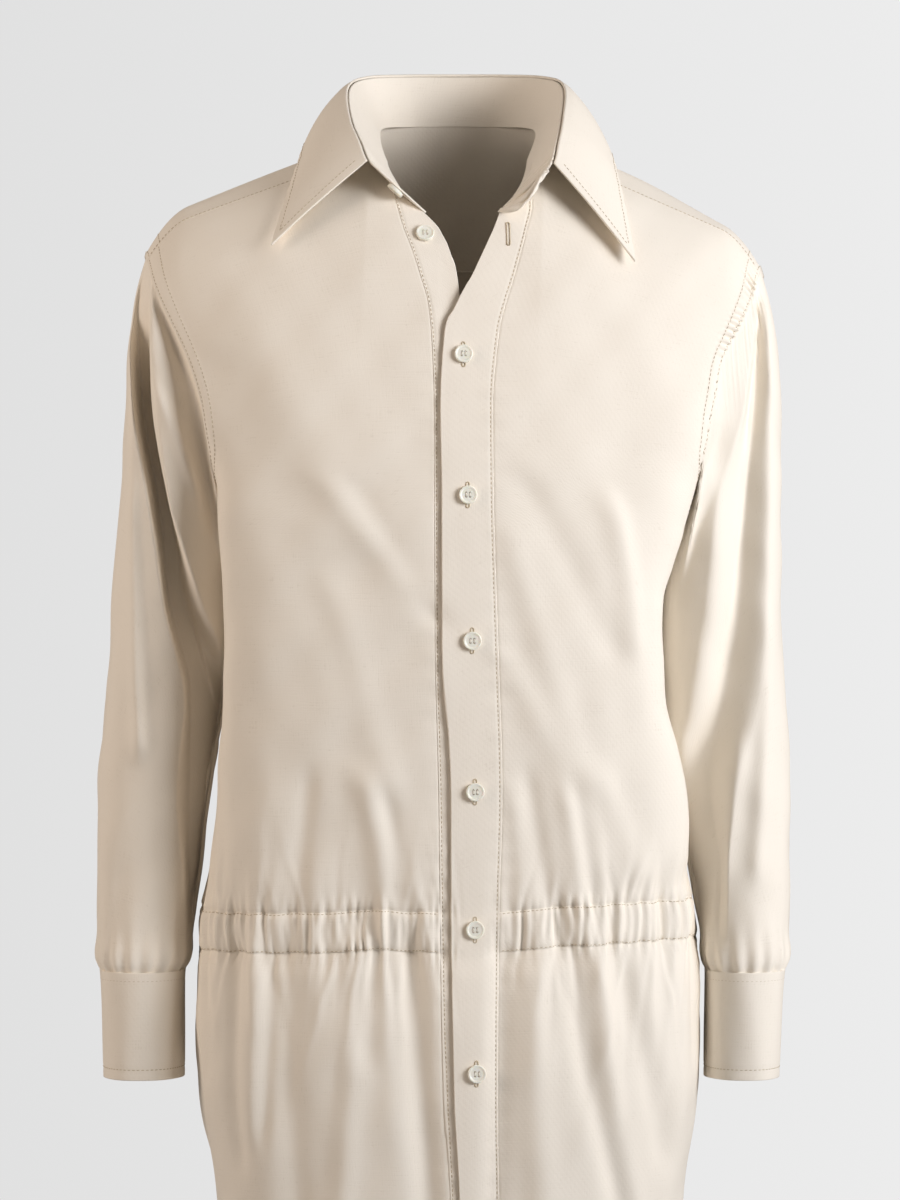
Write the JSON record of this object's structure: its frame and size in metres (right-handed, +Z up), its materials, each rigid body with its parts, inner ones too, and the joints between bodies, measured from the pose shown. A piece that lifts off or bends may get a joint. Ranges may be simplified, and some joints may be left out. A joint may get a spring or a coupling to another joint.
{
  "type": "shirt dress",
  "caption": "Long-sleeved shirt dress, worn and empty, with a pointed collar, a buttoned front placket, dropped shoulders, cuffs and an elastic drop waist.",
  "frame": {"origin": "midway between the two side neck points, where the shoulders carry the dress", "axes": "+Z up along the wearer's spine, -Y towards the buttoned front, +X the dress's own left side"},
  "size_m": [0.4999, 0.2543, 1.0524],
  "materials": {
    "twill": "matt brushed cotton twill, ecru",
    "button": "satin ivory, as a shell or resin shirt button"
  },
  "bodies": {
    "root": {"front_right": "twill", "front_left": "twill", "back": "twill", "yoke": "twill", "waist_casing_right": "twill", "waist_casing_left": "twill", "waist_casing_back": "twill", "skirt_front_right": "twill", "skirt_front_left": "twill", "skirt_back": "twill", "placket_upper": "twill", "placket_lower": "twill", "collar_stand": "twill", "collar_leaf": "twill", "sleeve_right": "twill", "sleeve_left": "twill", "cuff_right": "twill", "cuff_left": "twill", "sleeve_placket_right": "twill", "sleeve_placket_left": "twill", "button_1": "button", "button_2": "button", "button_3": "button", "button_4": "button", "button_5": "button", "button_6": "button", "button_7": "button", "button_8": "button", "button_9": "button", "button_collar": "button", "button_cuff_right": "button", "button_cuff_left": "button"}
  },
  "joints": []
}
